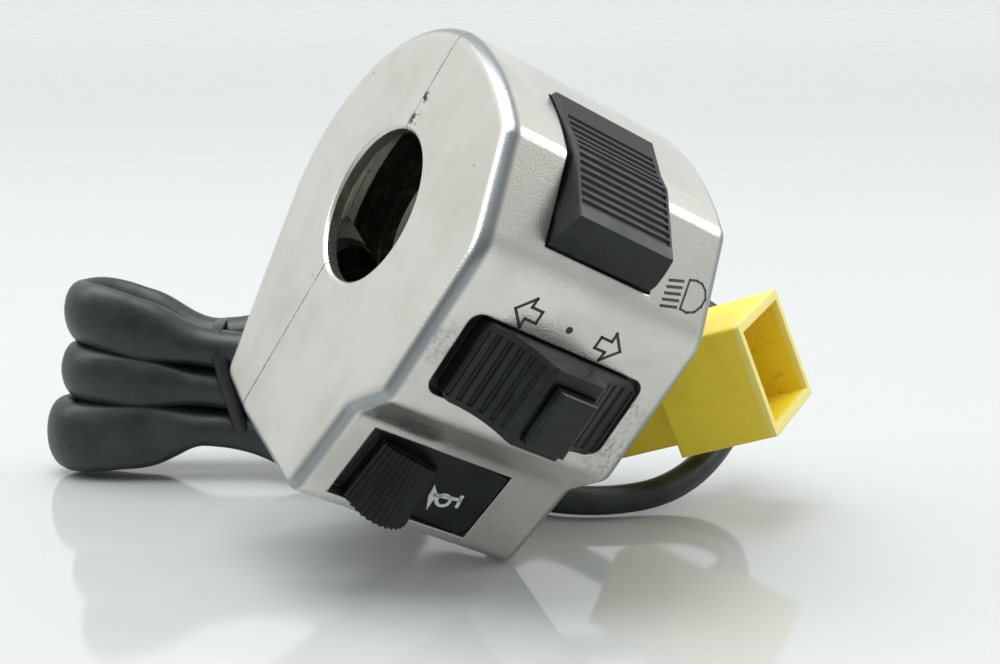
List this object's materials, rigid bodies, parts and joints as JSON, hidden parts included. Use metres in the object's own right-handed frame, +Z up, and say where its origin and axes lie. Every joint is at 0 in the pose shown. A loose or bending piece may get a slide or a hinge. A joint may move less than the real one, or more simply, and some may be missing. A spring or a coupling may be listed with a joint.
{
  "type": "handlebar switch",
  "caption": "Left handlebar switch: two-piece alloy housing with dimmer rocker, turn-signal slider with cancel button, horn button, tied harness and yellow connector.",
  "frame": {"origin": "centre of the handlebar bore at the middle of the housing", "axes": "+Z up as it lies on a bench, +X the level run of the bar axis towards its lower end, +Y towards the rear half"},
  "size_m": [0.099, 0.1093, 0.0742],
  "materials": {
    "alloy": "cast aluminium, satin with light scratches and pits",
    "screw_steel": "zinc-plated steel",
    "switch_black": "moulded black ABS, semi-gloss and slightly dusty",
    "pin_steel": "ground steel",
    "spring_steel": "drawn spring wire",
    "brass": "stamped brass, slightly tarnished",
    "insulator": "moulded phenolic",
    "rubber": "moulded rubber, matt",
    "wire_sleeve": "taped PVC wires",
    "sheath": "extruded PVC sheath, soft sheen",
    "tie_black": "rubber strap, matt",
    "wire_green": "PVC insulation",
    "yellow_nylon": "moulded nylon, semi-gloss",
    "tinned": "tinned brass"
  },
  "bodies": {
    "housing": {"switch_housing": "alloy", "clamp_housing": "alloy", "housing_screws": "screw_steel", "screw_washers": "screw_steel", "dimmer_pivot_pin": "pin_steel", "dimmer_contact_base": "insulator", "dimmer_contacts": "brass", "dimmer_base_screws": "screw_steel", "turn_contact_base": "insulator", "turn_contacts": "brass", "turn_base_screws": "screw_steel", "horn_pivot_pin": "pin_steel", "horn_spring": "spring_steel", "horn_contact_strip": "brass", "horn_contacts": "brass", "horn_contact_base": "insulator", "horn_base_screws": "screw_steel", "harness_grommet": "rubber", "dimmer_wires": "wire_sleeve", "turn_wires": "wire_sleeve", "horn_wires": "wire_sleeve", "harness_lead": "sheath", "harness_hank": "sheath", "hank_tie": "tie_black", "branch_boot": "rubber", "connector_lead": "sheath", "connector_wires": "wire_green", "connector_housing": "yellow_nylon", "connector_terminals": "tinned"},
    "dimmer": {"dimmer_rocker": "switch_black", "dimmer_detent_ball": "pin_steel", "dimmer_detent_spring": "spring_steel", "dimmer_wiper": "brass"},
    "slider": {"turn_slider": "switch_black", "turn_carrier": "insulator", "turn_bridge_contact": "brass", "cancel_spring": "spring_steel"},
    "cancel": {"cancel_button": "switch_black"},
    "horn": {"horn_button": "switch_black"}
  },
  "joints": [
    {"name": "dimmer_tilt", "type": "hinge", "parent": "housing", "child": "dimmer", "pos_m": [0.00395, -0.02237, 0.01043], "axis": [0.8998, 0, -0.4363], "range_deg": [0, 14]},
    {"name": "turn_slide", "type": "slide", "parent": "housing", "child": "slider", "axis": [0.8998, 0, -0.4363], "range_m": [-0.0015, 0.0015]},
    {"name": "cancel_push", "type": "slide", "parent": "slider", "child": "cancel", "axis": [0.1542, 0.9354, 0.3181], "range_m": [0, 0.002], "stiffness_N_per_m": 400, "springref_m": -0.001, "deforming": ["cancel_spring"]},
    {"name": "horn_push", "type": "hinge", "parent": "housing", "child": "horn", "pos_m": [-0.00724, -0.00963, -0.03098], "axis": [-0.3852, 0.4699, -0.7942], "range_deg": [0, 7], "stiffness_Nm_per_rad": 0.06, "springref_deg": -5.73, "deforming": ["horn_spring"]}
  ]
}
